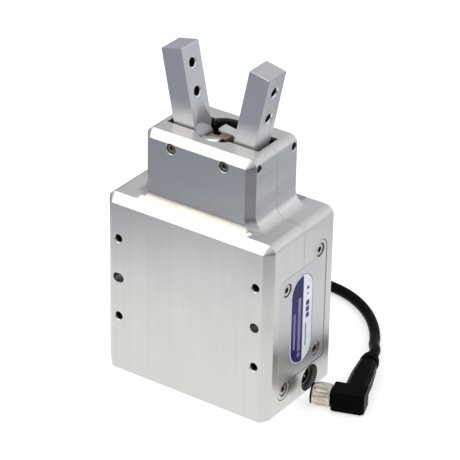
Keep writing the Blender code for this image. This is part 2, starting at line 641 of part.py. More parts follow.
# ---------------------------------------------------------------- lead: gland, cable and plug
gland = new_object('cable_gland', turned([(19.0, 2.65), (19.0, 3.7), (24.3, 3.7), (24.3, 5.4), (27.2, 5.4), (27.6, 5.0),
                                          (27.6, 4.3), (GLAND_END - 0.6, 3.25), (GLAND_END, 2.95), (GLAND_END, 2.65)],
                                         'Y', (GLAND_X, GLAND_Z), 24))
paint(gland, BLACK)
smooth(gland)


def route():
    """Centreline of the lead from inside the gland to inside the plug, lying on the floor."""
    pts = [(GLAND_X, y, GLAND_Z) for y in (20.5, 29.0, 37.0)]
    floor = CABLE_R + 0.02
    turn_r = 30.5
    cx, cy = GLAND_X + turn_r, COIL_MID[1] + COIL_R - turn_r
    run = []
    y = 42.0
    while y < cy - 2.0:
        run.append((GLAND_X, y))
        y += 6.0
    for i in range(9):
        a = radians(180.0 - 90.0 * i / 8)
        run.append((cx + turn_r * cos(a), cy + turn_r * sin(a)))
    heading = PLUG_TURN - pi / 2      # from the plug back along its arm
    ax, ay = cos(heading), sin(heading)
    tip = (PLUG_X + ax * PLUG_TIP, PLUG_Y + ay * PLUG_TIP)
    a0 = 90.0
    a1 = 26.0
    for i in range(1, 10):
        a = radians(a0 + (a1 - a0) * i / 9)
        run.append((COIL_MID[0] + (COIL_R) * cos(a) + (cx - COIL_MID[0]) * (1 - i / 9.0) ** 2,
                    COIL_MID[1] + COIL_R * sin(a)))
    # ease onto the plug's axis
    end = run[-1]
    k = [(tip[0] + ax * 6.0, tip[1] + ay * 6.0), tip, (tip[0] - ax * 5.5, tip[1] - ay * 5.5)]
    run += k
    # heights by distance along the run
    d = [0.0]
    for p, q in zip(run, run[1:]):
        d.append(d[-1] + hypot(q[0] - p[0], q[1] - p[1]))
    total = d[-1]

    def ease(t):
        t = min(max(t, 0.0), 1.0)
        return t * t * (3 - 2 * t)
    for (x, yy), s in zip(run, d):
        z = GLAND_Z + (floor - GLAND_Z) * ease((s + 3.0) / 46.0)
        z = z + (PLUG_Z - floor) * ease((s - (total - 27.0)) / 21.0)
        pts.append((x, yy, z))
    return pts


curve = bpy.data.curves.new('cable', 'CURVE')
curve.dimensions = '3D'
curve.bevel_depth = CABLE_R * MM
curve.bevel_resolution = 2
curve.use_fill_caps = True
points = route()
sp = curve.splines.new('POLY')
sp.points.add(len(points) - 1)
for p, q in zip(sp.points, points):
    p.co = (q[0] * MM, q[1] * MM, q[2] * MM, 1.0)
cable = bpy.data.objects.new('cable', curve)
bpy.context.scene.collection.objects.link(cable)
cable.data.materials.append(material('cable_finish', BLACK['colour'], BLACK['rough'], BLACK['metal']))

# plug frame: +X towards the coupling nut, -Y along the cable arm
PLUG_AT = (PLUG_X, PLUG_Y, PLUG_Z)
plug = new_object('plug_body', prism([(8.3, -3.4), (8.3, 3.4), (7.5, 4.2), (-4.3, 4.2), (-5.5, 3.0), (-5.5, -4.6), (8.0, -4.6)],
                                     'Z', -4.4, 4.4), PLUG_AT, PLUG_TURN)


def oblong(w, h, c):
    return [(w, -h + c), (w, h - c), (w - c, h), (-w + c, h), (-w, h - c), (-w, -h + c), (-w + c, -h), (w - c, -h)]


arm = helper('plug_arm', loft([[(x, -y, z) for x, z in oblong(w, h, 1.6)]
                               for y, w, h in ((-1.0, 4.6, 4.2), (16.0, 4.5, 4.1), (20.0, 4.2, 4.0), (26.0, 3.8, 3.7))]),
             PLUG_AT, PLUG_TURN)
combine(plug, [arm], 'UNION', 'join')
combine(plug, [helper('plug_nose_way', turned([(5.0, 0.0), (5.0, 2.9), (9.5, 2.9), (9.5, 0.0)], 'X', (0, 0), 20),
                      PLUG_AT, PLUG_TURN)], 'DIFFERENCE', 'cut')
paint(plug, BLACK)
boot = new_object('plug_boot', turned([(-26.3, 2.65), (-26.3, 3.7), (-27.5, 4.1), (-30.5, 4.1), (-32.5, 3.5), (-PLUG_TIP, 2.95),
                                       (-PLUG_TIP, 2.65)], 'Y', (0.0, 0), 20), PLUG_AT, PLUG_TURN)
paint(boot, BLACK)
smooth(boot)
nut = new_object('plug_nut', turned([(8.6, 3.3), (8.6, 4.7), (9.0, 4.98), (15.0, 4.98), (16.2, 4.3), (16.2, 3.3)], 'X',
                                    (0, 0), 28), PLUG_AT, PLUG_TURN)
paint(nut, NICKEL)
face = new_object('plug_insert', turned([(5.4, 0.0), (5.4, 2.6), (8.8, 2.6), (8.8, 3.0), (16.7, 3.0), (16.9, 2.8), (16.9, 0.0)],
                                        'X', (0, 0), 24), PLUG_AT, PLUG_TURN)
paint(face, BLACK)
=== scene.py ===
"""Looks of the two-finger angular gripper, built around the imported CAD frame."""
import bpy
import bmesh
from math import pi, sin, cos, tan, radians, hypot
from mathutils import Vector, Matrix


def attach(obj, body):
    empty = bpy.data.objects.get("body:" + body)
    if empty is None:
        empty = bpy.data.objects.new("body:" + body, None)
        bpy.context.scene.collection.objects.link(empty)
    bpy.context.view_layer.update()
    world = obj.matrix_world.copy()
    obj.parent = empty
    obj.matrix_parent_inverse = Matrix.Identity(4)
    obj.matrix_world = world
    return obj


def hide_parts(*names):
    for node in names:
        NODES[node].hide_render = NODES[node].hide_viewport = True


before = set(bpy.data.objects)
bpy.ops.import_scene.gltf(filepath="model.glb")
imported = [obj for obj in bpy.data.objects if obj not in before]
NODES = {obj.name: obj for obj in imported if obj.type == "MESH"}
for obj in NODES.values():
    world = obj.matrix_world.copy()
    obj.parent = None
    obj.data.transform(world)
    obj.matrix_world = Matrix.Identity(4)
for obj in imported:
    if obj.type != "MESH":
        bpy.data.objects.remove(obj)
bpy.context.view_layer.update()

scene = bpy.context.scene
MM = 0.001

# ------------------------------------------------------------------ camera
AZ, EL, ROLL = 0.60003086, 0.50904514, 0.01841798
back = Vector((sin(AZ) * cos(EL), -cos(AZ) * cos(EL), sin(EL)))
r0 = Vector((cos(AZ), sin(AZ), 0.0))
u0 = back.cross(r0)
right = r0 * cos(ROLL) + u0 * sin(ROLL)
up = u0 * cos(ROLL) - r0 * sin(ROLL)
eye = (right * 4.7498 + up * 56.9095 + back * 1094.55) * MM
cam_data = bpy.data.cameras.new("camera")
cam = bpy.data.objects.new("camera", cam_data)
scene.collection.objects.link(cam)
cam_data.sensor_width = 36.0
cam_data.lens = 36.0 * 2659.67 / 460.0
cam_data.clip_start, cam_data.clip_end = 0.01, 20.0
cam.matrix_world = Matrix(((right.x, up.x, back.x, eye.x), (right.y, up.y, back.y, eye.y),
                           (right.z, up.z, back.z, eye.z), (0, 0, 0, 1)))
scene.camera = cam
scene.view_settings.view_transform = 'Standard'
scene.view_settings.look = 'None'


# ------------------------------------------------------------------ node helpers
class Net:
    """Short hand for a material's or world's nodes."""

    def __init__(self, owner):
        owner.use_nodes = True
        self.t = owner.node_tree
        self.t.nodes.clear()

    def new(self, kind, **props):
        n = self.t.nodes.new(kind)
        for k, v in props.items():
            setattr(n, k, v)
        return n

    def set(self, socket, value):
        if isinstance(value, bpy.types.NodeSocket):
            self.t.links.new(value, socket)
        else:
            socket.default_value = value

    def math(self, op, a, b=0.0, c=0.0, clamp=False):
        n = self.new('ShaderNodeMath', operation=op, use_clamp=clamp)
        self.set(n.inputs[0], a)
        self.set(n.inputs[1], b)
        self.set(n.inputs[2], c)
        return n.outputs[0]

    def split(self, vector):
        n = self.new('ShaderNodeSeparateXYZ')
        self.set(n.inputs[0], vector)
        return n.outputs[0], n.outputs[1], n.outputs[2]

    def join(self, x, y, z):
        n = self.new('ShaderNodeCombineXYZ')
        self.set(n.inputs[0], x)
        self.set(n.inputs[1], y)
        self.set(n.inputs[2], z)
        return n.outputs[0]

    def step(self, x, lo, hi):
        n = self.new('ShaderNodeMapRange', interpolation_type='SMOOTHSTEP')
        self.set(n.inputs['Value'], x)
        n.inputs['From Min'].default_value = lo
        n.inputs['From Max'].default_value = hi
        return n.outputs[0]

    def ramp(self, x, lo, hi, to_lo, to_hi):
        n = self.new('ShaderNodeMapRange')
        self.set(n.inputs['Value'], x)
        n.inputs['From Min'].default_value = lo
        n.inputs['From Max'].default_value = hi
        n.inputs['To Min'].default_value = to_lo
        n.inputs['To Max'].default_value = to_hi
        return n.outputs[0]

    def mix(self, f, a, b):
        n = self.new('ShaderNodeMix', data_type='RGBA')
        self.set(n.inputs[0], f)
        self.set(n.inputs[6], a)
        self.set(n.inputs[7], b)
        return n.outputs[2]

    def scale(self, v, s):
        n = self.new('ShaderNodeVectorMath', operation='MULTIPLY')
        self.set(n.inputs[0], v)
        n.inputs[1].default_value = s
        return n.outputs[0]

    def noise(self, v, scale, detail=3.0, rough=0.5):
        n = self.new('ShaderNodeTexNoise')
        self.set(n.inputs['Vector'], v)
        n.inputs['Scale'].default_value = scale
        n.inputs['Detail'].default_value = detail
        n.inputs['Roughness'].default_value = rough
        return n.outputs['Fac']

    def bump(self, height, strength, distance, normal=None):
        n = self.new('ShaderNodeBump')
        self.set(n.inputs['Height'], height)
        n.inputs['Strength'].default_value = strength
        n.inputs['Distance'].default_value = distance
        if normal is not None:
            self.set(n.inputs['Normal'], normal)
        return n.outputs[0]

    def shader(self, **values):
        b = self.new('ShaderNodeBsdfPrincipled')
        out = self.new('ShaderNodeOutputMaterial')
        self.t.links.new(b.outputs[0], out.inputs[0])
        for k, v in values.items():
            self.set(b.inputs[k.replace('_', ' ')], v)
        return b


def rgb(r, g, b):
    return (r, g, b, 1.0)


def brushed(name, base, dark, rough=0.3, lines='Z', grain=1.0, head_shade_factor=1.0, streak=1.0, aniso=0.0, region=None):
    """Machined and brushed metal: fine lines along one way on upright faces and along X on level ones."""
    m = bpy.data.materials.new(name)
    g = Net(m)
    tc = g.new('ShaderNodeTexCoord')
    p, nrm = tc.outputs['Object'], tc.outputs['Normal']
    nx, ny, nz = g.split(nrm)
    level = g.step(g.math('ABSOLUTE', nz), 0.35, 0.55)
    k = 1.0 / grain
    if lines == 'Z':
        side_v = g.scale(p, (2600 * k, 2600 * k, 16))
        side_c = g.scale(p, (420 * k, 420 * k, 5))
    else:
        side_v = g.scale(p, (22, 22, 2600 * k))
        side_c = g.scale(p, (6, 6, 420 * k))
    top_v = g.scale(p, (18, 2600 * k, 1500 * k))
    fine_s, fine_t = g.noise(side_v, 1.0, 2.0), g.noise(top_v, 1.0, 2.0)
    x, y, z = g.split(p)
    upper = g.step(z, 0.0795, 0.0815)
    if region == 'housing':
        across = g.noise(g.scale(p, (26, 26, 700)), 1.0, 3.0)
        mixed = g.math('MULTIPLY', upper, 0.85)
        fine_s = g.math('ADD', g.math('MULTIPLY', fine_s, g.math('SUBTRACT', 1.0, mixed)), g.math('MULTIPLY', across, mixed))
    fine = g.math('ADD', g.math('MULTIPLY', fine_s, g.math('SUBTRACT', 1.0, level)), g.math('MULTIPLY', fine_t, level))
    coarse = g.noise(side_c, 1.0, 2.0)
    cloud = g.noise(p, 55.0, 4.0, 0.6)
    tone = g.math('ADD', g.math('MULTIPLY', g.math('SUBTRACT', fine, 0.5), 0.55 * streak),
                  g.math('MULTIPLY', g.math('SUBTRACT', coarse, 0.5), 0.5 * streak))
    tone = g.math('ADD', tone, g.math('MULTIPLY', g.math('SUBTRACT', cloud, 0.5), 0.35))
    if region == 'housing':
        drift = g.noise(g.scale(p, (20, 20, 130)), 1.0, 4.0, 0.6)
        tone = g.math('ADD', tone, g.math('MULTIPLY', g.math('MULTIPLY', g.math('SUBTRACT', drift, 0.5), 1.5), upper))
    tone = g.math('ADD', tone, 0.62, clamp=True)
    colour = g.mix(tone, rgb(*dark), rgb(*base))
    # painted shade: on the head, above the step, upright faces get a darker and cooler copy of the metal colour
    if head_shade_factor != 1.0:
        f = g.math('MULTIPLY', upper, g.math('SUBTRACT', 1.0, g.step(g.math('ABSOLUTE', nz), 0.25, 0.6)))
        head_shaded_colour = g.mix(tone, rgb(*[c * head_shade_factor * k for c, k in zip(dark, (0.985, 1.0, 1.045))]),
                       rgb(*[c * (head_shade_factor + 0.02) * k for c, k in zip(base, (0.985, 1.0, 1.045))]))
        colour = g.mix(f, colour, head_shaded_colour)
    rgh = g.math('ADD', g.math('MULTIPLY', g.math('SUBTRACT', 0.62, tone), 0.3), rough, clamp=True)
    if region == 'housing':
        # painted shade: faces inside the head's slot, below its top, are painted near black and made rougher
        painted_well_shade = g.math('MULTIPLY', g.step(g.math('ABSOLUTE', x), 0.02205, 0.02175), g.step(g.math('ABSOLUTE', y), 0.0110, 0.0107))
        painted_well_shade = g.math('MULTIPLY', painted_well_shade, g.step(z, 0.1100, 0.1082))
        painted_well_shade = g.math('MULTIPLY', painted_well_shade, upper)
        colour = g.mix(painted_well_shade, colour, rgb(0.085, 0.083, 0.080))
        rgh = g.math('ADD', rgh, g.math('MULTIPLY', painted_well_shade, 0.18), clamp=True)
    if region == 'finger':
        root = g.math('MULTIPLY', g.step(z, 0.1215, 0.1135), g.step(g.math('ABSOLUTE', y), 0.0062, 0.0054))
        rgh = g.math('ADD', rgh, g.math('MULTIPLY', root, 0.30), clamp=True)
        # painted shade: the finger below about 105 mm, down in the head's slot, is painted dark grey
        painted_slot_shade = g.step(z, 0.1068, 0.1040)
        colour = g.mix(painted_slot_shade, colour, rgb(0.20, 0.20, 0.20))
    metal = 1.0
    base_n = None
    if region == 'finger':
        metal = g.math('SUBTRACT', 1.0, g.math('MULTIPLY', root, 0.55))
    if region == 'housing':
        tx, tz = nx, nz
        ty = g.math('MULTIPLY', ny, g.step(g.math('ABSOLUTE', y), 0.00058, 0.00074))
        # the milled step round the head is dished: it turns smoothly into the chamfer
        ay = g.math('ABSOLUTE', y)
        band = g.math('MULTIPLY', g.step(z, 0.0793, 0.0797), g.step(z, 0.0828, 0.0820))
        band = g.math('MULTIPLY', band, g.math('MULTIPLY', g.step(ay, 0.0169, 0.0173), g.step(ay, 0.0211, 0.0207)))
        band = g.math('MULTIPLY', band, g.step(g.math('ABSOLUTE', x), 0.0282, 0.0252))
        lines = g.noise(g.scale(p, (14, 2400, 2400)), 1.0, 2.0)
        th = g.math('ADD', g.ramp(ay, 0.0171, 0.0207, radians(25), radians(45)), g.math('MULTIPLY', g.math('SUBTRACT', lines, 0.5), 0.16))
        out_y = g.math('MULTIPLY', g.math('SIGN', y), g.math('COSINE', th))
        keep = g.math('SUBTRACT', 1.0, band)
        tx = g.math('MULTIPLY', tx, keep)
        ty = g.math('ADD', g.math('MULTIPLY', ty, keep), g.math('MULTIPLY', out_y, band))
        tz = g.math('ADD', g.math('MULTIPLY', tz, keep), g.math('MULTIPLY', g.math('SINE', th), band))
        turned = g.new('ShaderNodeVectorMath', operation='NORMALIZE')
        g.set(turned.inputs[0], g.join(tx, ty, tz))
        base_n = turned.outputs[0]
    b = g.bump(fine, 0.08, 0.00004, base_n)
    g.shader(Base_Color=colour, Metallic=metal, Roughness=rgh, Normal=b, Anisotropic=aniso)
    return m


def plain_metal(name, base, dark, rough=0.28, scale=900.0, bump=0.08, metallic=1.0, spots=0.35, socket_shade_x=None, shade_below_z=None):
    """Turned, ground or plated metal: fine mottling with slightly worn tone, and optional painted shade in a socket or
    below a height.
    """
    m = bpy.data.materials.new(name)
    g = Net(m)
    p = g.new('ShaderNodeTexCoord').outputs['Object']
    a, c = g.noise(p, scale, 4.0, 0.6), g.noise(p, scale * 0.16, 3.0, 0.6)
    tone = g.math('ADD', g.math('MULTIPLY', a, spots), g.math('MULTIPLY', c, 1.1 - spots), clamp=True)
    colour = g.mix(g.step(tone, 0.25, 0.75), rgb(*dark), rgb(*base))
    rgh = g.ramp(tone, 0.2, 0.8, rough + 0.12, rough - 0.05)
    # painted shade: deep in a screw's socket the colour turns dark brown
    if socket_shade_x is not None:
        colour = g.mix(g.step(g.split(p)[0], socket_shade_x, socket_shade_x - 0.00015), colour, rgb(0.15, 0.135, 0.115))
    # painted shade: below the given height, down in the head's well, the colour turns near black
    if shade_below_z is not None:
        colour = g.mix(g.step(g.split(p)[2], shade_below_z, shade_below_z - 0.0012), colour, rgb(0.055, 0.052, 0.050))
    g.shader(Base_Color=colour, Metallic=metallic, Roughness=rgh, Normal=g.bump(a, bump, 0.00005))
    return m


def moulded(name, base, light, rough=0.45, scale=1600.0, bump=0.25, distance=0.00004, sheen=0.5):
    """Moulded plastic or rubber: fine spark-eroded grain and a faint bloom."""
    m = bpy.data.materials.new(name)
    g = Net(m)
    p = g.new('ShaderNodeTexCoord').outputs['Object']
    a, c = g.noise(p, scale, 3.0, 0.6), g.noise(p, 90.0, 3.0, 0.6)
    colour = g.mix(g.step(c, 0.35, 0.75), rgb(*base), rgb(*light))
    rgh = g.ramp(c, 0.3, 0.7, rough - 0.06, rough + 0.08)
    g.shader(Base_Color=colour, Metallic=0.0, Roughness=rgh, Normal=g.bump(a, bump, distance), Specular_IOR_Level=sheen)
    return m


# the housing's head is painted darker and cooler on its upright faces: painted shade
HOUSING = brushed("housing_brushed_aluminium", (0.86, 0.86, 0.845), (0.68, 0.68, 0.675), 0.31, 'Z', head_shade_factor=0.79, streak=0.6,
                  region='housing')
FINGER = brushed("finger_brushed_aluminium", (0.79, 0.80, 0.83), (0.63, 0.64, 0.67), 0.28, 'Z', streak=0.7, region='finger')
COVER = brushed("cover_satin_aluminium", (0.81, 0.82, 0.83), (0.66, 0.67, 0.69), 0.36, 'Z', streak=0.45, region='cover')
TURNED = plain_metal("drive_turned_aluminium", (0.78, 0.78, 0.78), (0.6, 0.6, 0.61), 0.26)
STEEL = plain_metal("ground_steel", (0.60, 0.60, 0.61), (0.42, 0.42, 0.44), 0.22)
BLACKED = plain_metal("black_oxide_steel", (0.10, 0.10, 0.105), (0.035, 0.035, 0.04), 0.34)
SOCKET = plain_metal("browned_steel", (0.34, 0.31, 0.27), (0.12, 0.11, 0.10), 0.32)
NICKEL = plain_metal("nickel_plate", (0.80, 0.75, 0.66), (0.58, 0.54, 0.46), 0.17, bump=0.04)
# the cover screws' sockets are painted dark: painted shade
SCREW = plain_metal("nickel_screw", (0.76, 0.71, 0.62), (0.50, 0.46, 0.40), 0.2, bump=0.04, socket_shade_x=0.03945)
SHELL = plain_metal("port_shell_metal", (0.36, 0.36, 0.36), (0.20, 0.20, 0.205), 0.3)
# the crosshead is painted near black below 106 mm: painted shade in the well
BRONZE = plain_metal("machined_bronze", (0.50, 0.36, 0.25), (0.26, 0.18, 0.13), 0.42, 420.0, 0.2, shade_below_z=0.1060)
BLACK = moulded("black_moulding", (0.0012, 0.0011, 0.0012), (0.0026, 0.0023, 0.0022), 0.34, sheen=0.03)
JACKET = moulded("cable_jacket", (0.0012, 0.0011, 0.0011), (0.0028, 0.0025, 0.0024), 0.40, 900.0, 0.12, sheen=0.05)
# countersinks: a smoother cut, and a near white colour brighter than the fingers, which is painted highlight
MOUTH_HIGHLIGHT = plain_metal("countersunk_painted_highlight", (0.97, 0.97, 0.97), (0.86, 0.86, 0.87), 0.16)
# painted shade: the aluminium inside tapped holes is painted dark grey
HOLE_SHADE = plain_metal("tapped_hole_painted_shade", (0.22, 0.22, 0.225), (0.08, 0.08, 0.085), 0.4)
SEAM = plain_metal("seam_aluminium", (0.70, 0.70, 0.71), (0.56, 0.56, 0.57), 0.4)
GOLD = plain_metal("contact_gold", (0.62, 0.54, 0.36), (0.46, 0.38, 0.22), 0.25)
LABEL_WHITE = moulded("label_white_film", (0.80, 0.82, 0.90), (0.70, 0.72, 0.84), 0.30, 300.0, 0.04)
LABEL_BLUE = moulded("label_blue_ink", (0.008, 0.006, 0.085), (0.030, 0.026, 0.17), 0.30, 300.0, 0.04, sheen=0.2)
LABEL_GREY = moulded("label_light_ink", (0.24, 0.24, 0.42), (0.16, 0.16, 0.32), 0.32, 300.0, 0.04, sheen=0.2)
LABEL_INK = moulded("label_dark_ink", (0.03, 0.028, 0.14), (0.06, 0.055, 0.24), 0.32, 300.0, 0.04, sheen=0.2)
BOARD = moulded("solder_mask", (0.01, 0.09, 0.03), (0.015, 0.14, 0.05), 0.3, 500.0, 0.1)


def finish_of(ob, mat):
    ob.data.materials.clear()
    ob.data.materials.append(mat)


def smooth(ob, angle=30.0):
    ob.data.shade_smooth()
    ob.data.set_sharp_from_angle(angle=radians(angle))


def add_piece(name, bm, mat, body, replaces=(), smooth_angle=32.0):
    bmesh.ops.recalc_face_normals(bm, faces=bm.faces)
    me = bpy.data.meshes.new(name)
    bm.to_mesh(me)
    bm.free()
    ob = bpy.data.objects.new(name, me)
    scene.collection.objects.link(ob)
    finish_of(ob, mat)
    smooth(ob, smooth_angle)
    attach(ob, body)
    if replaces:
        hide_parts(*replaces)
    return ob


# ------------------------------------------------------------------ cord
CABLE_R = 2.30
GLAND_X, GLAND_Z, GLAND_END = -28.0, 12.0, 38.0
PLUG_X, PLUG_Y, PLUG_Z, PLUG_TURN, PLUG_TIP = 61.3, 6.2, 5.0, radians(199.0), 33.5
COIL_MID, COIL_R = (-5.0, 25.0), 55.1


def route():
    """The lead's centreline, as in the CAD source."""
    pts = [(GLAND_X, y, GLAND_Z) for y in (20.5, 29.0, 37.0)]
    floor = 2.39
    turn_r = 30.5
    cx, cy = GLAND_X + turn_r, COIL_MID[1] + COIL_R - turn_r
    run = []
    y = 42.0
    while y < cy - 2.0:
        run.append((GLAND_X, y))
        y += 6.0
    for i in range(9):
        a = radians(180.0 - 90.0 * i / 8)
        run.append((cx + turn_r * cos(a), cy + turn_r * sin(a)))
    heading = PLUG_TURN - pi / 2
    ax, ay = cos(heading), sin(heading)
    tip = (PLUG_X + ax * PLUG_TIP, PLUG_Y + ay * PLUG_TIP)
    for i in range(1, 10):
        a = radians(90.0 + (26.0 - 90.0) * i / 9)
        run.append((COIL_MID[0] + COIL_R * cos(a) + (cx - COIL_MID[0]) * (1 - i / 9.0) ** 2,
                    COIL_MID[1] + COIL_R * sin(a)))
    run += [(tip[0] + ax * 6.0, tip[1] + ay * 6.0), tip, (tip[0] - ax * 5.5, tip[1] - ay * 5.5)]
    d = [0.0]
    for p, q in zip(run, run[1:]):
        d.append(d[-1] + hypot(q[0] - p[0], q[1] - p[1]))
    total = d[-1]

    def ease(t):
        t = min(max(t, 0.0), 1.0)
        return t * t * (3 - 2 * t)
    for (x, yy), s in zip(run, d):
        z = GLAND_Z + (floor - GLAND_Z) * ease((s + 3.0) / 46.0)
        z = z + (PLUG_Z - floor) * ease((s - (total - 27.0)) / 21.0)
        pts.append((x, yy, z))
    return pts


POINTS = [Vector(p) * MM for p in route()]
cord_curve = bpy.data.curves.new("lead_cable", 'CURVE')
cord_curve.dimensions = '3D'
cord_curve.bevel_depth = CABLE_R * MM
cord_curve.bevel_resolution = 10
cord_curve.resolution_u = 10
cord_curve.use_fill_caps = True
sp = cord_curve.splines.new('BEZIER')
sp.bezier_points.add(len(POINTS) - 1)
for i, (b, q) in enumerate(zip(sp.bezier_points, POINTS)):
    t = (POINTS[min(i + 1, len(POINTS) - 1)] - POINTS[max(i - 1, 0)]).normalized()
    before = (q - POINTS[i - 1]).length / 3 if i else 0.002
    after = (POINTS[i + 1] - q).length / 3 if i < len(POINTS) - 1 else 0.002
    b.co = q
    b.handle_left_type = b.handle_right_type = 'FREE'
    b.handle_left = q - t * before
    b.handle_right = q + t * after
lead = bpy.data.objects.new("lead_cable", cord_curve)
scene.collection.objects.link(lead)
cord_curve.materials.append(JACKET)
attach(lead, "housing")
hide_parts("cable")

# ------------------------------------------------------------------ CAD nodes that stay: finishes and edges
def finish_node(name, mat, bevel=0.0, segments=2, angle=35.0):
    ob = NODES[name]
    finish_of(ob, mat)
    if bevel:
        w = ob.modifiers.new("weld", 'WELD')
        w.merge_threshold = 0.000004
        b = ob.modifiers.new("edges", 'BEVEL')
        b.width = bevel * MM
        b.segments = segments
        b.limit_method = 'ANGLE'
        b.angle_limit = radians(angle)
        b.use_clamp_overlap = True
        b.harden_normals = False
        n = ob.modifiers.new("normals", 'WEIGHTED_NORMAL')
        n.keep_sharp = False
    return ob


for n in ("front_housing", "rear_housing"):
    finish_node(n, HOUSING, 0.22)
for n in ("left_finger", "right_finger"):
    finish_node(n, FINGER, 0.34)
finish_node("side_cover", COVER, 0.26)
for n in ("shaft_coupling", "motor_end_cap"):
    finish_node(n, TURNED, 0.15)
for n in ("pivot_pin_left", "pivot_pin_right", "drive_pin", "screw_bearing_lower", "screw_bearing_upper", "bearing_retainer",
          "motor_shaft", "dowel_pin_1", "dowel_pin_2", "lead_screw") + tuple("joint_screw_%d" % i for i in (1, 2, 3, 4)):
    finish_node(n, STEEL)
for a in ("front", "rear"):
    for b in ("left", "right"):
        finish_node("pivot_plug_%s_%s" % (a, b), SOCKET)
        finish_node("pin_lock_%s_%s" % (a, b), BLACKED)
finish_node("motor_body", BLACKED, 0.2)
finish_node("crosshead", BRONZE, 0.2)
finish_node("control_board", BOARD)
for n in ("board_processor", "board_driver", "board_header", "port_insert", "plug_boot", "plug_insert"):
    finish_node(n, BLACK, 0.1)
finish_node("plug_body", BLACK, 0.45, 3)
finish_node("cable_gland", BLACK)
for n in ("port_shell", "port_ring_nut"):
    finish_node(n, SHELL)
for n in ("board_standoff_1", "board_standoff_2", "plug_nut") + tuple("cover_screw_%d" % i for i in (1, 2, 3, 4)):
    finish_node(n, NICKEL)
finish_node("label_plate", BLACK)

# ------------------------------------------------------------------ detailed pieces
def ring_mesh(rows, close=False):
    """Closed skin through rows of points in millimetres; a row of one point is a tip."""
    bm = bmesh.new()
    made = [[bm.verts.new([c * MM for c in p]) for p in row] for row in rows]
    pairs = list(zip(made, made[1:]))
    if close:
        pairs.append((made[-1], made[0]))
    for a, b in pairs:
        n = max(len(a), len(b))
        for i in range(n):
            j = (i + 1) % n
            if len(a) == 1:
                bm.faces.new((a[0], b[j], b[i]))
            elif len(b) == 1:
                bm.faces.new((a[i], a[j], b[0]))
            else:
                bm.faces.new((a[i], a[j], b[j], b[i]))
    return bm


def lathe(profile, put, n=48, wave=None, close=False):
    """Rows round an axis. put(t, u, v) gives the point; wave(t, r, angle) may change the radius."""
    rows = []
    for t, r in profile:
        if r == 0.0:
            rows.append([put(t, 0.0, 0.0)])
            continue
        row = []
        for i in range(n):
            a = 2 * pi * i / n
            q = wave(t, r, a) if wave else r
            row.append(put(t, q * cos(a), q * sin(a)))
        rows.append(row)
    return ring_mesh(rows, close)


def hexagon(r, a):
    b = a % (pi / 3)
    return r * cos(pi / 6) / cos(b - pi / 6)


def cap_screw(name, node, put, out, sign, length, shank, head_r, head_h, socket, depth, mat, body, dome=0.0, n=48):
    """Hex-socket screw with a broken edge, a drilled socket floor and a plain shank."""
    e = 0.22 if head_h else 0.25
    big = head_r if head_h else shank
    prof = [(out - sign * (depth + 0.45), 0.0), (out - sign * depth, socket * 0.98), (out - sign * 0.12, socket),
            (out, socket + 0.14), (out + sign * 0.0, (socket + big) / 2), (out - sign * 0.02, big - e),
            (out - sign * 0.5 * e, big - 0.28 * e), (out - sign * e, big)]
    if head_h:
        prof += [(out - sign * (head_h - 0.1), big), (out - sign * head_h, big - 0.1), (out - sign * head_h, shank)]
    prof += [(out - sign * (length - 0.4), shank), (out - sign * length, shank - 0.4), (out - sign * length, 0.0)]

    def wave(t, r, a):
        return hexagon(r, a) if r <= socket + 0.15 and abs(t - out) <= depth + 0.01 else r
    ob = add_piece(name, lathe(prof, put, n, wave), mat, body, (node,), 28.0)
    return ob


def on_x(cy, cz):
    return lambda t, u, v: (t, cy + u, cz + v)


def on_y(cx, cz):
    return lambda t, u, v: (cx + u, t, cz + v)


def on_z(cx, cy):
    return lambda t, u, v: (cx + u, cy + v, t)


for i, (y, z) in enumerate(((-11.1, 56.2), (11.8, 64.2), (11.1, 18.8), (-11.8, 10.8))):
    cap_screw("cover_screw_%d_detail" % (i + 1), "cover_screw_%d" % (i + 1), on_x(y, z), 39.55, 1, 6.3, 1.35, 2.6, 1.45, 1.3, 0.95,
              SCREW, "housing")
for i, (x, z) in enumerate(((-34.0, 72.0), (34.0, 72.0), (-34.0, 8.0), (21.0, 7.0))):
    def knurl(t, u, v, f=on_y(x, z)):
        return f(t, u, v)
    cap_screw("joint_screw_%d_detail" % (i + 1), "joint_screw_%d" % (i + 1), knurl, 23.4, 1, 34.0, 1.4, 2.85, 3.0, 1.35, 1.5,
              STEEL, "housing")
for sx, tag in ((-1, "left"), (1, "right")):
    for sy, end in ((-1, "front"), (1, "rear")):
        cap_screw("pivot_plug_%s_%s_detail" % (end, tag), "pivot_plug_%s_%s" % (end, tag), on_y(sx * 12.5, 104.8), sy * 16.6, sy,
                  3.0, 1.95, 0, 0, 1.1, 1.4, SOCKET, "housing")
        cap_screw("pin_lock_%s_%s_detail" % (end, tag), "pin_lock_%s_%s" % (end, tag), on_x(sy * 12.0, 105.9), sx * 19.2, sx,
                  4.5, 1.35, 0, 0, 0.75, 1.2, BLACKED, "housing")


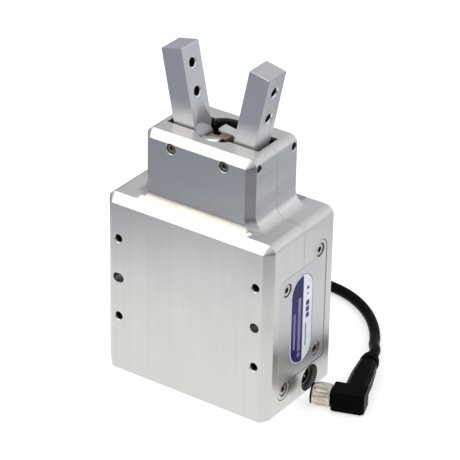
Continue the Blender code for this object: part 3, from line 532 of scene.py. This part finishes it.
# lead screw with a real trapezoidal thread, 2 mm lead
def threaded_rod(z0, z1, r_out, r_in, pitch, below):
    n = 32
    rows = []
    steps = [(0.0, r_in), (0.28, r_in), (0.42, r_out), (0.86, r_out), (1.0, r_in)]
    turns = int((z1 - z0) / pitch) - 2
    cols = []
    for i in range(n):
        a = 2 * pi * i / n
        col = []
        for k in range(turns):
            for f, r in steps[:-1]:
                col.append((z0 + pitch * (k + 0.5 + f + i / n), r))
        cols.append(col)
    m = len(cols[0])
    bm = bmesh.new()

    def vert(i, z, r):
        a = 2 * pi * i / n
        return bm.verts.new((r * cos(a) * MM, r * sin(a) * MM, z * MM))
    grid = [[vert(i, z, r) for z, r in cols[i]] for i in range(n)]
    shift = len(steps) - 1
    for i in range(n - 1):
        for k in range(m - 1):
            bm.faces.new((grid[i][k], grid[i + 1][k], grid[i + 1][k + 1], grid[i][k + 1]))
    for k in range(m - 1 - shift):
        bm.faces.new((grid[n - 1][k], grid[0][k + shift], grid[0][k + 1 + shift], grid[n - 1][k + 1]))
    # lower end: smooth rod, upper end: chamfered tip
    low = [vert(i, z0 + 0.2, r_in) for i in range(n)]
    for i in range(n - 1):
        bm.faces.new((low[i], low[i + 1], grid[i + 1][0], grid[i][0]))
    first = [low[n - 1], low[0]] + [grid[0][k] for k in range(0, shift + 1)] + [grid[n - 1][0]]
    bm.faces.new(first)
    high = [vert(i, z1, r_in - 0.5) for i in range(n)]
    for i in range(n - 1):
        bm.faces.new((grid[i][m - 1], grid[i + 1][m - 1], high[i + 1], high[i]))
    last = [grid[n - 1][k] for k in range(m - 1 - shift, m)] + [high[n - 1], high[0], grid[0][m - 1]]
    bm.faces.new(last)
    bm.faces.new(high)
    prev = low
    for z, r in below:
        ring = [vert(i, z, r) for i in range(n)]
        for i in range(n):
            j = (i + 1) % n
            bm.faces.new((prev[i], prev[j], ring[j], ring[i]))
        prev = ring
    bm.faces.new(list(reversed(prev)))
    return bm


add_piece("lead_screw_thread", threaded_rod(80.4, 96.5, 2.92, 2.35, 2.0,
          [(80.4, 2.9), (80.2, 2.95), (80.2, 4.1), (80.05, 4.28), (79.15, 4.28), (79.0, 4.1), (79.0, 2.95), (52.4, 2.95), (52.0, 2.55)]),
          STEEL, "screw_rotor", ("lead_screw",), 25.0)


# threads in the tapped holes, coloured dark grey: painted shade inside the holes
def hole_thread(name, frames, r_wall, r_crest, length, pitch, mat, body):
    """frames: (origin, axis inwards, side) of each hole. A rolled thread lining inside its wall."""
    bm = bmesh.new()
    n = 24
    for o, axis, side in frames:
        o, axis, side = Vector(o), Vector(axis).normalized(), Vector(side).normalized()
        third = axis.cross(side)
        turns = max(2, int(length / pitch))
        rows = []
        for k in range(turns * 2 + 1):
            row = []
            for i in range(n):
                a = 2 * pi * i / n
                t = pitch * (k / 2 + i / n)
                t = min(t, length)
                r = r_wall if k % 2 else r_crest
                row.append(bm.verts.new((o + axis * t + side * r * cos(a) + third * r * sin(a)) * MM))
            rows.append(row)
        for a, b in zip(rows, rows[1:]):
            for i in range(n - 1):
                bm.faces.new((a[i], a[i + 1], b[i + 1], b[i]))
        for k in range(len(rows) - 3):
            bm.faces.new((rows[k][n - 1], rows[k + 2][0], rows[k + 3][0], rows[k + 1][n - 1]))
    me = bpy.data.meshes.new(name)
    bm.to_mesh(me)
    bm.free()
    ob = bpy.data.objects.new(name, me)
    scene.collection.objects.link(ob)
    finish_of(ob, mat)
    ob.data.shade_smooth()
    s = ob.modifiers.new("wall", 'SOLIDIFY')
    s.thickness = 0.00005
    s.offset = 0.0
    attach(ob, body)
    return ob


for sy, tag in ((-1, "front"), (1, "rear")):
    hole_thread("mount_threads_" + tag, [((x, sy * 23.45, z), (0, -sy, 0), (1, 0, 0)) for x in (-33.2, 33.2) for z in (25.0, 61.0)],
                1.68, 1.42, 8.2, 0.7, HOLE_SHADE, "housing")
for s, tag in ((1, "left"), (-1, "right")):
    c, sn = cos(radians(11.63)), sin(radians(11.63))
    frames = []
    for u in (18.2, 30.2):
        v = 4.17 - 0.45
        o = (-12.5 * s + s * (v * c - u * sn), 0.0, 104.8 + v * sn + u * c)
        frames.append((o, (-s * c, 0, -sn), (0, 1, 0)))
    hole_thread("finger_threads_" + tag, frames, 2.38, 2.08, 8.6, 0.8, HOLE_SHADE, tag + "_finger")


def rim(name, frames, r_out, r_in, depth, mat, body):
    """Countersunk mouths of tapped holes, one closed ring for each hole."""
    bm = bmesh.new()
    n = 32
    for o, axis, side in frames:
        o, axis, side = Vector(o), Vector(axis).normalized(), Vector(side).normalized()
        third = axis.cross(side)
        rows = []
        for t, r in ((0.04, r_out), (0.04, r_out - 0.05), (depth * 0.8, r_in + 0.06), (depth, r_in), (depth + 0.2, r_in), (depth + 0.2, r_out)):
            rows.append([bm.verts.new((o + axis * t + (side * cos(2 * pi * i / n) + third * sin(2 * pi * i / n)) * r) * MM) for i in range(n)])
        for a, b in zip(rows, rows[1:] + rows[:1]):
            for i in range(n):
                j = (i + 1) % n
                bm.faces.new((a[i], a[j], b[j], b[i]))
    return add_piece(name, bm, mat, body, (), 40.0)


# the hole mouths are painted brighter than the finger metal: painted highlight
for s, tag in ((1, "left"), (-1, "right")):
    c, sn = cos(radians(11.63)), sin(radians(11.63))
    frames = [((-12.5 * s + s * (4.17 * c - u * sn), 0.0, 104.8 + 4.17 * sn + u * c), (-s * c, 0, -sn), (0, 1, 0)) for u in (18.2, 30.2)]
    rim("finger_hole_mouths_" + tag, frames, 2.41, 1.90, 0.45, MOUTH_HIGHLIGHT, tag + "_finger")
    frames = [((-12.5 * s + s * (-5.53 * c - u * sn), 0.0, 104.8 - 5.53 * sn + u * c), (s * c, 0, sn), (0, 1, 0)) for u in (18.2, 30.2)]
    rim("finger_hole_backs_" + tag, frames, 2.41, 1.90, 0.45, MOUTH_HIGHLIGHT, tag + "_finger")

# thin line where the two halves meet
def seam_strip(name, path):
    bm = bmesh.new()
    rows = []
    for (x, z), (nx, nz) in path:
        rows.append([bm.verts.new((c[0] * MM, c[1] * MM, c[2] * MM)) for c in
                     ((x - nx * 0.05, -0.148, z - nz * 0.05), (x - nx * 0.05, 0.148, z - nz * 0.05),
                      (x - nx * 1.4, 0.148, z - nz * 1.4), (x - nx * 1.4, -0.148, z - nz * 1.4))])
    for a, b in zip(rows, rows[1:]):
        for i in range(4):
            j = (i + 1) % 4
            bm.faces.new((a[i], a[j], b[j], b[i]))
    bm.faces.new(rows[0])
    bm.faces.new(list(reversed(rows[-1])))
    return add_piece(name, bm, SEAM, "housing", (), 40.0)


def arc_path(cx, cz, r, a0, a1, n, out=1.0):
    res = []
    for i in range(n + 1):
        a = radians(a0 + (a1 - a0) * i / n)
        res.append(((cx + r * cos(a), cz + r * sin(a)), (out * cos(a), out * sin(a))))
    return res


top_run = [((21.95, 110.0), (0, 1))] + arc_path(22.55, 106.55, 3.45, 90, 0, 10) + arc_path(32.0, 85.98, 6.0, 180, 270, 12, -1.0) \
    + arc_path(36.3, 76.3, 3.7, 90, 0, 10)
mirror = [((-x, z), (-nx, nz)) for (x, z), (nx, nz) in top_run]
seam_strip("seam_line_right_upper", top_run + [((40.0, 62.3), (1, 0))])
foot = arc_path(37.5, 2.5, 2.5, 0, -90, 8)
seam_strip("seam_line_lower", [((40.0, 12.8), (1, 0))] + foot + [((-x, z), (-nx, nz)) for (x, z), (nx, nz) in reversed(foot)]
           + list(reversed(mirror)))

# label: white film with a deep blue field and plain bars in place of print
def stadium_yz(cy, cz, hw, hl, n=24):
    pts = [(cy + hw * cos(pi * i / n), cz + hl - hw + hw * sin(pi * i / n)) for i in range(n + 1)]
    pts += [(cy + hw * cos(pi + pi * i / n), cz - hl + hw + hw * sin(pi + pi * i / n)) for i in range(n + 1)]
    return pts


def plate_x(points, x0, x1):
    bm = bmesh.new()
    a = [bm.verts.new((x0 * MM, y * MM, z * MM)) for y, z in points]
    b = [bm.verts.new((x1 * MM, y * MM, z * MM)) for y, z in points]
    for i in range(len(points)):
        j = (i + 1) % len(points)
        bm.faces.new((a[i], a[j], b[j], b[i]))
    bm.faces.new(list(reversed(a)))
    bm.faces.new(b)
    return bm


def clipped(points, y_max):
    """The part of a convex outline with y below y_max."""
    res = []
    for p, q in zip(points, points[1:] + points[:1]):
        if p[0] <= y_max:
            res.append(p)
        if (p[0] <= y_max) != (q[0] <= y_max):
            t = (y_max - p[0]) / (q[0] - p[0])
            res.append((y_max, p[1] + t * (q[1] - p[1])))
    return res


label = add_piece("label_film", plate_x(stadium_yz(-0.5, 38.2, 7.6, 20.0), 39.6, 39.905), LABEL_WHITE, "housing", ("label_plate",))
edge = label.modifiers.new("edge", 'BEVEL')
edge.width, edge.segments, edge.limit_method = 0.00008, 2, 'ANGLE'
add_piece("label_field", plate_x(clipped(stadium_yz(-0.5, 38.2, 7.2, 19.6), 0.5), 39.85, 39.918), LABEL_BLUE, "housing")


def bars(name, boxes, x1, mat):
    bm = bmesh.new()
    for y0, y1, z0, z1 in boxes:
        made = bmesh.ops.create_cube(bm, size=1.0)["verts"]
        for v in made:
            v.co = Vector(((39.86 + (x1 - 39.86) * (v.co.x + 0.5)) * MM, (y0 + (y1 - y0) * (v.co.y + 0.5)) * MM,
                           (z0 + (z1 - z0) * (v.co.z + 0.5)) * MM))
    return add_piece(name, bm, mat, "housing")


bars("label_light_bars", [(-6.1, -4.7, 26.0, 42.5), (-2.9, -1.0, 24.0, 48.5), (-2.9, -1.0, 21.4, 23.2)], 39.926, LABEL_GREY)
bars("label_dark_bars", [(2.6, 4.9, 37.2, 39.4), (2.6, 4.9, 40.0, 42.2), (2.6, 4.9, 42.8, 45.0), (3.0, 4.6, 50.2, 51.4),
                         (2.9, 4.4, 47.9, 48.4), (2.5, 3.1, 24.5, 35.0)], 39.922, LABEL_INK)

# port contacts
bm = bmesh.new()
for i in range(4):
    a = pi / 4 + i * pi / 2
    cy, cz = 6.8 + 1.5 * cos(a), 7.1 + 1.5 * sin(a)
    part = lathe([(34.9, 0.0), (34.9, 0.56), (36.7, 0.56), (37.05, 0.42), (37.2, 0.2), (37.2, 0.0)], on_x(cy, cz), 20)
    tmp = bpy.data.meshes.new("tmp")
    part.to_mesh(tmp)
    part.free()
    bm.from_mesh(tmp)
    bpy.data.meshes.remove(tmp)
add_piece("port_contacts", bm, GOLD, "housing")

# ------------------------------------------------------------------ plug
PLUG = Matrix.Translation(Vector((PLUG_X, PLUG_Y, PLUG_Z))) @ Matrix.Rotation(PLUG_TURN, 4, 'Z')


def plug_x(t, u, v):
    return tuple(PLUG @ Vector((t, u, v)))


def plug_y(t, u, v):
    return tuple(PLUG @ Vector((u, t, v)))


def knurled(t, r, a):
    if 9.45 < t < 14.75:
        w = (a * 18 / (2 * pi)) % 1.0
        d = min(w, 1.0 - w)
        return r - 0.42 * max(0.0, 1.0 - (d / 0.2) ** 2)
    return r


nut_prof = [(8.6, 3.3), (8.6, 4.55), (8.75, 4.7), (9.25, 4.75), (9.4, 4.88), (9.55, 4.95), (9.8, 4.97), (12.0, 4.97), (14.4, 4.97),
            (14.7, 4.93), (14.8, 4.8), (14.95, 4.72), (15.25, 4.72), (15.7, 4.62), (16.05, 4.4), (16.2, 4.1), (16.2, 3.45), (16.05, 3.3)]
add_piece("plug_nut_knurled", lathe(nut_prof, plug_x, 216, knurled, close=True), NICKEL, "housing", ("plug_nut",), 34.0)
boot_prof = [(-26.3, 2.6), (-26.3, 3.65), (-26.5, 3.72), (-27.2, 3.66), (-27.5, 3.78), (-28.2, 4.08), (-29.2, 4.1), (-29.9, 3.92),
             (-30.2, 3.62), (-30.5, 3.58), (-30.8, 3.72), (-31.3, 3.74), (-31.6, 3.5), (-31.8, 3.3), (-32.1, 3.32), (-32.5, 3.32),
             (-32.8, 3.05), (-33.3, 2.9), (-33.5, 2.78), (-33.5, 2.6)]
add_piece("plug_boot_ribbed", lathe(boot_prof, plug_y, 56, close=True), BLACK, "housing", ("plug_boot",), 50.0)
front = add_piece("plug_front_ring", lathe([(15.9, 2.2), (15.9, 3.28), (16.22, 3.3), (16.25, 4.3), (16.6, 4.35), (16.85, 4.15), (16.9, 3.9), (16.9, 2.3),
                                            (16.7, 2.2)], plug_x, 48,
                  close=True), BLACK, "housing")

# gland: hexagon with a tapered, ribbed sleeve
gland_prof = [(19.0, 2.55), (19.0, 3.7), (24.3, 3.7), (24.3, 5.0), (24.45, 5.4), (27.2, 5.4), (27.5, 5.05), (27.6, 4.3), (28.6, 4.25),
              (28.8, 3.95), (29.2, 3.95), (29.4, 4.15), (30.6, 4.05), (30.8, 3.75), (31.2, 3.75), (31.4, 3.95), (32.6, 3.83), (32.8, 3.55),
              (33.2, 3.55), (33.4, 3.73), (34.6, 3.6), (34.8, 3.35), (35.2, 3.35), (35.4, 3.5), (36.6, 3.38), (37.6, 3.15), (38.0, 2.9), (38.0, 2.55)]


def hexed(t, r, a):
    return hexagon(r, a) if 24.4 < t < 27.3 else r


gland_piece = add_piece("cable_gland_sleeve", lathe(gland_prof, on_y(GLAND_X, GLAND_Z), 60, hexed, close=True), BLACK, "housing",
                        ("cable_gland",), 35.0)

# ------------------------------------------------------------------ stage
def stage_plane(name, size, z, hole=0.0):
    bm = bmesh.new()
    bmesh.ops.create_grid(bm, x_segments=1, y_segments=1, size=size)
    me = bpy.data.meshes.new(name)
    bm.to_mesh(me)
    bm.free()
    ob = bpy.data.objects.new(name, me)
    ob.location = (0, 0, z)
    scene.collection.objects.link(ob)
    return ob


floor = stage_plane("floor", 4.0, -0.0002)
m = bpy.data.materials.new("pale_floor")
g = Net(m)
b = g.shader(Base_Color=rgb(0.92, 0.92, 0.92), Roughness=0.9)
b.inputs['Specular IOR Level'].default_value = 0.0
b.inputs['Emission Color'].default_value = rgb(1, 1, 1)
b.inputs['Emission Strength'].default_value = 0.52
floor.data.materials.append(m)
floor.visible_glossy = False

# what the metal sees of the table: bright paper near the object, a darker room beyond it
card = stage_plane("table_reflection", 4.0, -0.0006)
card.visible_camera = False
card.visible_diffuse = False
card.visible_shadow = False
card.visible_transmission = False
m = bpy.data.materials.new("table_reflection")
g = Net(m)
tc = g.new('ShaderNodeTexCoord').outputs['Object']
x, y, z = g.split(tc)
rad = g.math('SQRT', g.math('ADD', g.math('MULTIPLY', x, x), g.math('MULTIPLY', y, y)))
east = g.math('DIVIDE', x, g.math('MAXIMUM', rad, 0.001), clamp=True)
reach = g.math('MULTIPLY', rad, g.math('SUBTRACT', 1.0, g.math('MULTIPLY', east, 0.20)))
near = g.step(reach, 0.185, 0.115)
north = g.math('MULTIPLY', g.step(y, 0.108, 0.136), g.step(x, 0.112, 0.088))
near = g.math('MULTIPLY', near, g.math('SUBTRACT', 1.0, g.math('MULTIPLY', north, 0.75)))
corner = g.math('MULTIPLY', g.math('DIVIDE', x, g.math('MAXIMUM', rad, 0.001), clamp=True), g.math('DIVIDE', y, g.math('MAXIMUM', rad, 0.001), clamp=True))
corner = g.math('MULTIPLY', corner, 2.0, clamp=True)
near_c = g.mix(corner, rgb(0.87, 0.87, 0.85), rgb(0.79, 0.80, 0.81))
side = g.math('DIVIDE', g.math('ADD', g.math('MULTIPLY', x, 0.78), g.math('MULTIPLY', y, -0.62)), g.math('MAXIMUM', rad, 0.001))
side = g.step(side, 0.35, 1.0)
rear = g.math('DIVIDE', g.math('ADD', g.math('MULTIPLY', x, 0.5), g.math('MULTIPLY', y, 0.86)), g.math('MAXIMUM', rad, 0.001))
rear = g.step(rear, 0.0, 0.9)
far_c = g.mix(rear, rgb(0.33, 0.345, 0.39), rgb(0.62, 0.635, 0.66))
far_c = g.mix(side, far_c, rgb(0.10, 0.105, 0.12))
far_c = g.mix(north, far_c, rgb(0.44, 0.45, 0.47))
col = g.mix(near, far_c, near_c)
e = g.new('ShaderNodeEmission')
g.set(e.inputs[0], col)
o = g.new('ShaderNodeOutputMaterial')
g.t.links.new(e.outputs[0], o.inputs[0])
card.data.materials.append(m)

# ------------------------------------------------------------------ lights
def softbox(name, place, target, w, h, watts, colour=(1, 1, 1)):
    ld = bpy.data.lights.new(name, 'AREA')
    ld.shape = 'RECTANGLE'
    ld.size, ld.size_y = w, h
    ld.energy = watts
    ld.color = colour
    ob = bpy.data.objects.new(name, ld)
    scene.collection.objects.link(ob)
    ob.location = place
    d = Vector(target) - Vector(place)
    ob.rotation_mode = 'QUATERNION'
    ob.rotation_quaternion = d.to_track_quat('-Z', 'Y')
    return ob


softbox("softbox_front_left", (-0.62, -0.72, 0.86), (0, 0, 0.09), 0.75, 0.55, 0.8, (1.0, 0.985, 0.96))
softbox("softbox_low_warm", (-0.62, -0.90, 0.52), (0, 0, 0.09), 0.55, 0.30, 0.15, (1.0, 0.93, 0.80))

world = bpy.data.worlds.new("studio")
scene.world = world
g = Net(world)
tc = g.new('ShaderNodeTexCoord').outputs['Generated']
x, y, z = g.split(tc)
height = g.ramp(z, -0.1, 1.0, 0.0, 1.0)
cr = g.new('ShaderNodeValToRGB')
g.set(cr.inputs[0], height)
els = cr.color_ramp.elements
els[0].position, els[0].color = 0.0, rgb(0.34, 0.35, 0.38)
els[1].position, els[1].color = 1.0, rgb(0.78, 0.785, 0.79)
e2 = els.new(0.35)
e2.color = rgb(0.46, 0.47, 0.495)
flat = g.math('MAXIMUM', g.math('SQRT', g.math('ADD', g.math('MULTIPLY', x, x), g.math('MULTIPLY', y, y))), 0.001)
# right rear wall brighter, left rear a little darker
wall = g.math('DIVIDE', g.math('ADD', g.math('MULTIPLY', x, 0.83), g.math('MULTIPLY', y, 0.56)), flat)
wall = g.math('MULTIPLY', g.step(wall, 0.1, 0.9), g.step(z, 0.95, 0.35))
tone = g.mix(wall, cr.outputs[0], rgb(0.84, 0.845, 0.86))
# tall window of light front left: warm low down, white higher up
c = g.math('DIVIDE', g.math('ADD', g.math('MULTIPLY', x, -0.58), g.math('MULTIPLY', y, -0.815)), flat)
window = g.math('MULTIPLY', g.step(c, 0.72, 0.90), g.math('MULTIPLY', g.step(z, 0.10, 0.26), g.step(z, 0.97, 0.86)))
glow = g.mix(g.step(z, 0.46, 0.72), rgb(1.22, 1.12, 0.93), rgb(1.05, 1.06, 1.07))
tone = g.mix(window, tone, glow)
lp = g.new('ShaderNodeLightPath')
sky = g.mix(lp.outputs['Is Camera Ray'], tone, rgb(1.0, 1.0, 1.0))
bg = g.new('ShaderNodeBackground')
g.set(bg.inputs[0], sky)
bg.inputs[1].default_value = 1.0
o = g.new('ShaderNodeOutputWorld')
g.t.links.new(bg.outputs[0], o.inputs[0])
